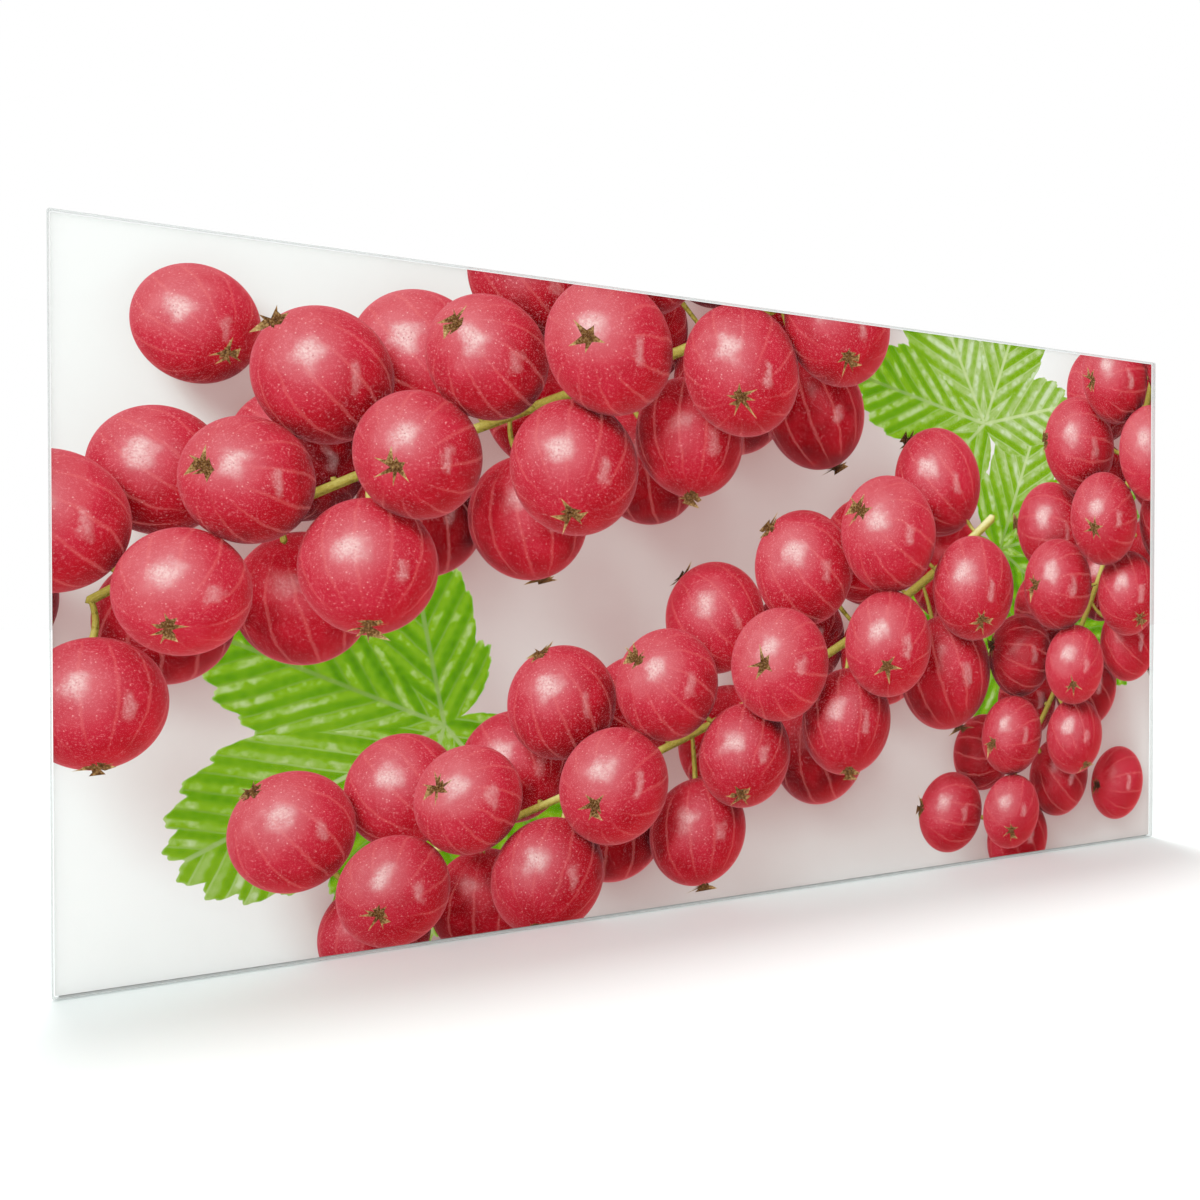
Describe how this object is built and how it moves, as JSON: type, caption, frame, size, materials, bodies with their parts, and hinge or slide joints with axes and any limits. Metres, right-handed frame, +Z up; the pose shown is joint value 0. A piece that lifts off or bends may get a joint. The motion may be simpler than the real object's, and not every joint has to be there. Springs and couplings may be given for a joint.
{
  "type": "printed glass wall picture",
  "caption": "Flat rectangular glass wall picture, printed behind the glass, with a white back, slotted steel hangers for wall screws and rubber spacers.",
  "frame": {"origin": "on the wall plane, midway between the two screws that the picture hangs on, at the top of the hangers' slots", "axes": "+Z up, the picture faces -Y and the wall is behind it at y = 0, +X to the viewer's right"},
  "size_m": [1, 0.0125, 0.5],
  "materials": {
    "glass": "clear polished float glass with ground edges",
    "picture_print": "printed film in crimson, green and white",
    "backing": "matt white opaque film",
    "hanger_steel": "pressed and zinc plated sheet",
    "foam_tape": "closed cell foam tape",
    "spacer_rubber": "matt moulded rubber"
  },
  "bodies": {
    "root": {"glass_pane": "glass", "picture_film": "picture_print", "backing_film": "backing", "hanger_left": "hanger_steel", "hanger_right": "hanger_steel", "hanger_left_tape_outer": "foam_tape", "hanger_left_tape_inner": "foam_tape", "hanger_right_tape_outer": "foam_tape", "hanger_right_tape_inner": "foam_tape", "spacer_left": "spacer_rubber", "spacer_right": "spacer_rubber", "spacer_left_tape": "foam_tape", "spacer_right_tape": "foam_tape"}
  },
  "joints": []
}
